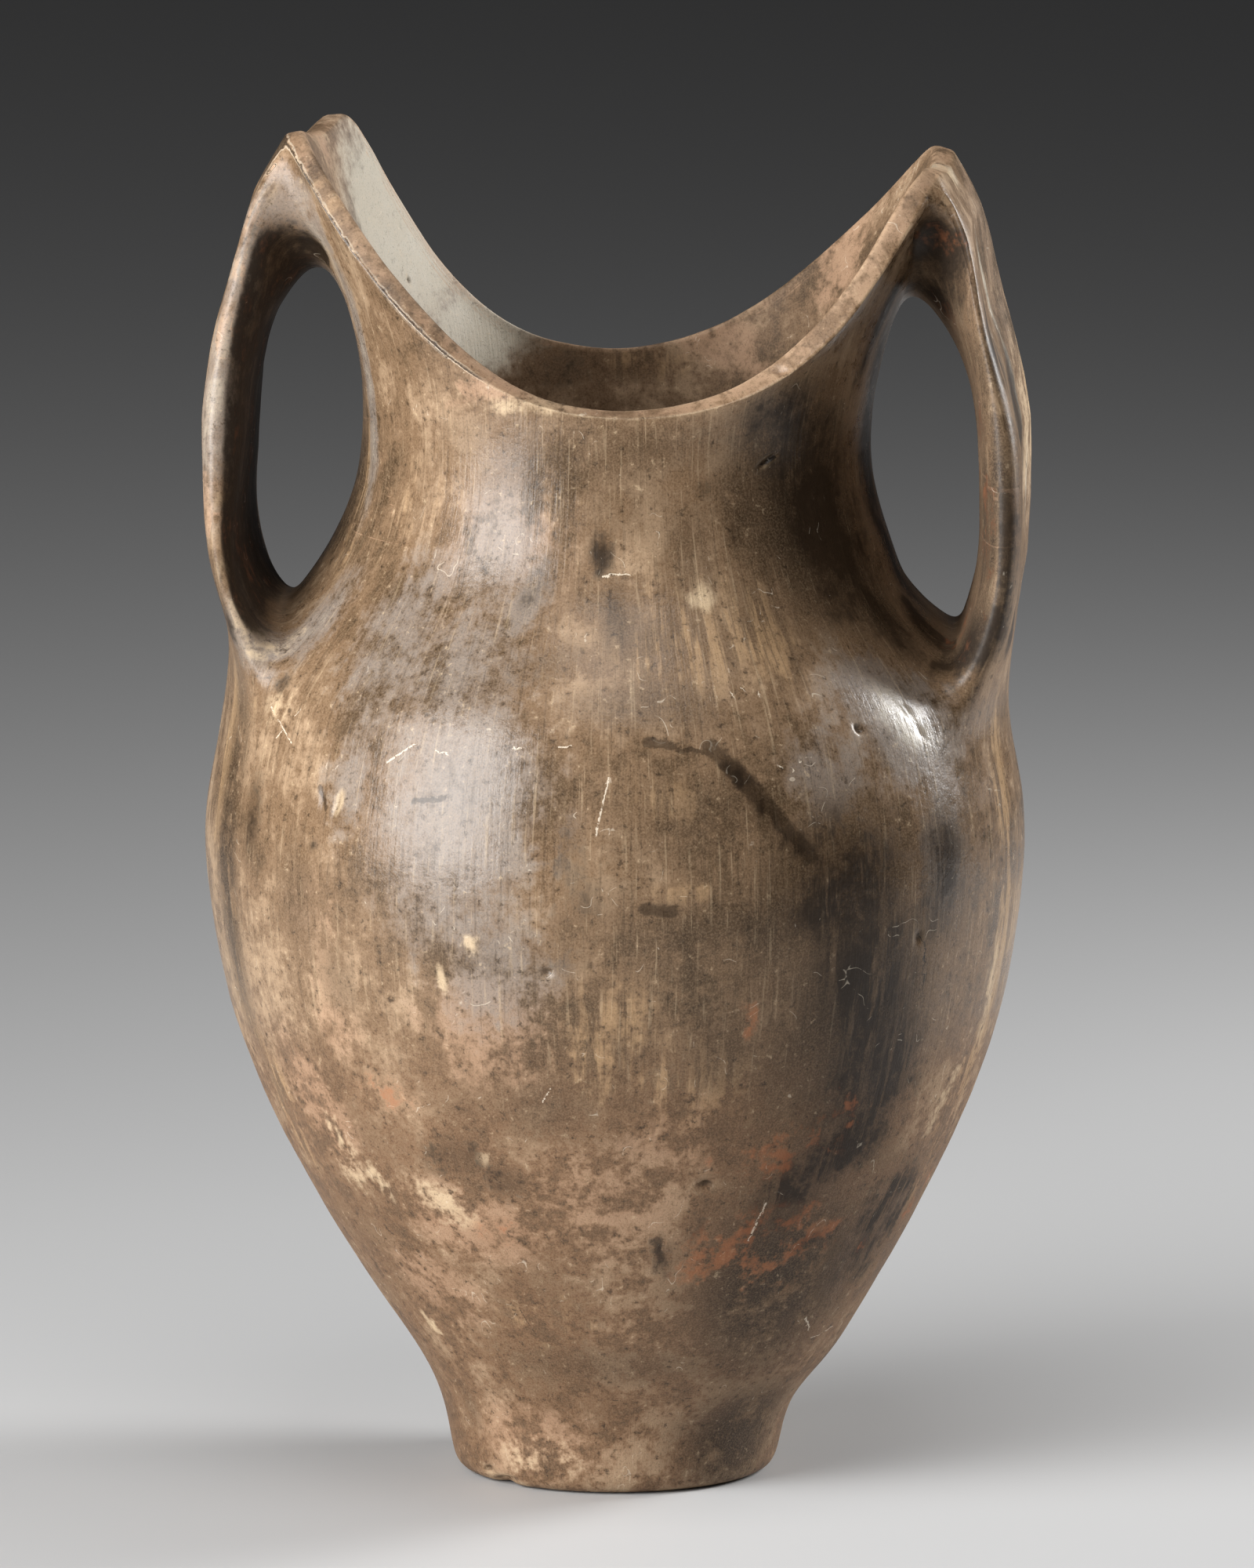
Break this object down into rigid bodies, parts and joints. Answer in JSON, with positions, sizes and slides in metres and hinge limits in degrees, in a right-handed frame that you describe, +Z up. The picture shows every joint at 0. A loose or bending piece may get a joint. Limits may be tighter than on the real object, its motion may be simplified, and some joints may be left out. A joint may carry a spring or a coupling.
{
  "type": "two-handled pottery vase",
  "caption": "Hollow hand-built pottery vase with a round body, small flat foot, short neck, saddle-shaped mouth and wide strap handles rising to the rim.",
  "frame": {"origin": "centre of the foot's underside, on the surface the vase stands on", "axes": "+Z up; X runs from handle to handle, with the higher rim peak at -X; the front is -Y"},
  "size_m": [0.2552, 0.2534, 0.4219],
  "materials": {
    "burnished_clay": "hand-burnished brown to grey fired clay, satin, with smoke clouds, ochre streaks, scratches and worn patches"
  },
  "bodies": {
    "root": {"vase": "burnished_clay"}
  },
  "joints": []
}
